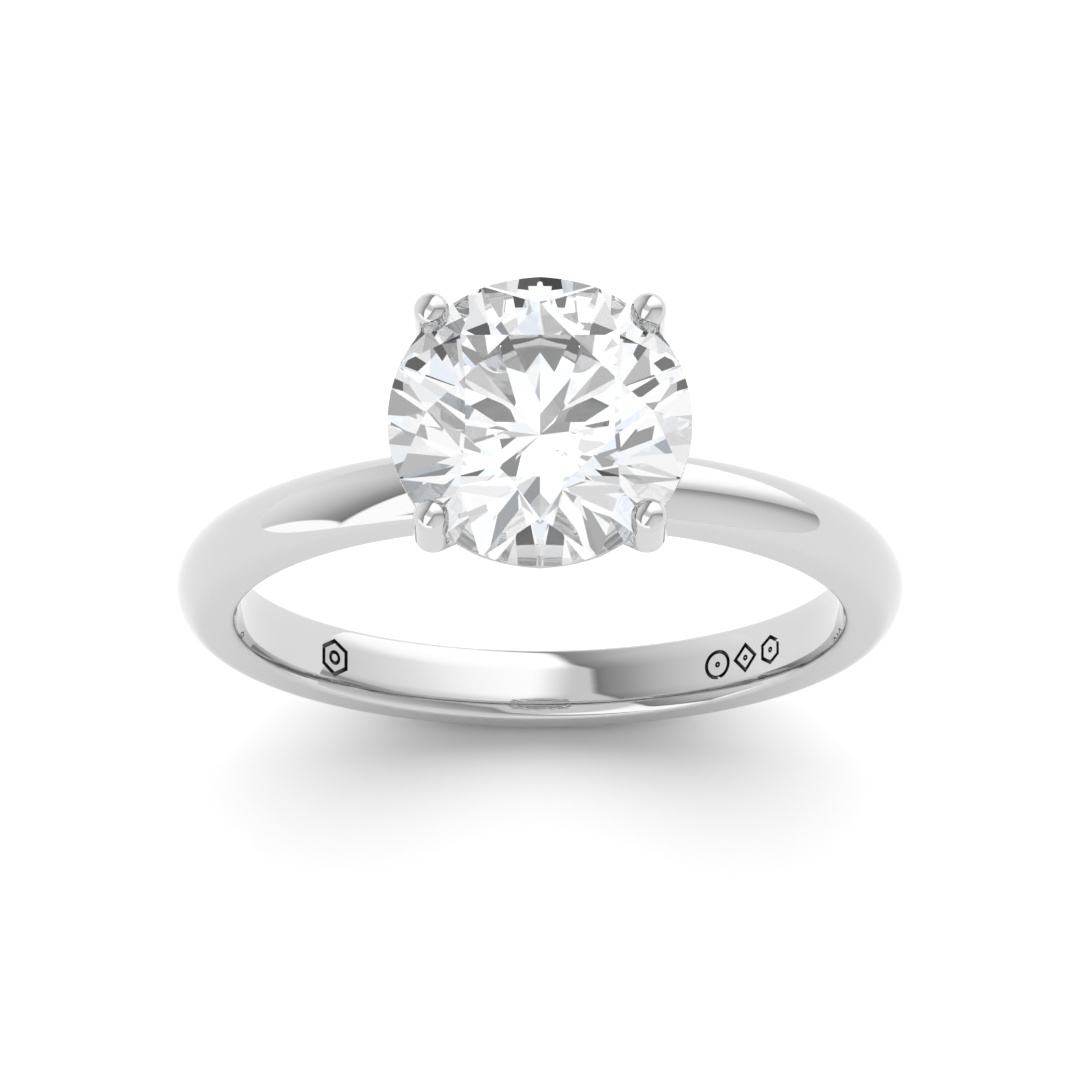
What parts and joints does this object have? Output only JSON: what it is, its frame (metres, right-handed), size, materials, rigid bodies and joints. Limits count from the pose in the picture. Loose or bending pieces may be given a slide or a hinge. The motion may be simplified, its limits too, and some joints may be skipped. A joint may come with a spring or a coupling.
{
  "type": "engagement ring",
  "caption": "Solitaire ring: plain domed platinum band, pegged claw head with a gallery rail, and a round brilliant stone.",
  "frame": {"origin": "centre of the finger hole, in the middle of the band's width", "axes": "+Z from the finger hole to the stone's table, +Y along the finger, +X across the finger"},
  "size_m": [0.0198, 0.008, 0.0254],
  "materials": {
    "platinum": "mirror polish",
    "diamond": "faceted and polished"
  },
  "bodies": {
    "root": {"shank": "platinum", "peg": "platinum", "base_ring": "platinum", "gallery_rail": "platinum", "claw_1": "platinum", "claw_2": "platinum", "claw_3": "platinum", "claw_4": "platinum", "centre_stone": "diamond"}
  },
  "joints": []
}
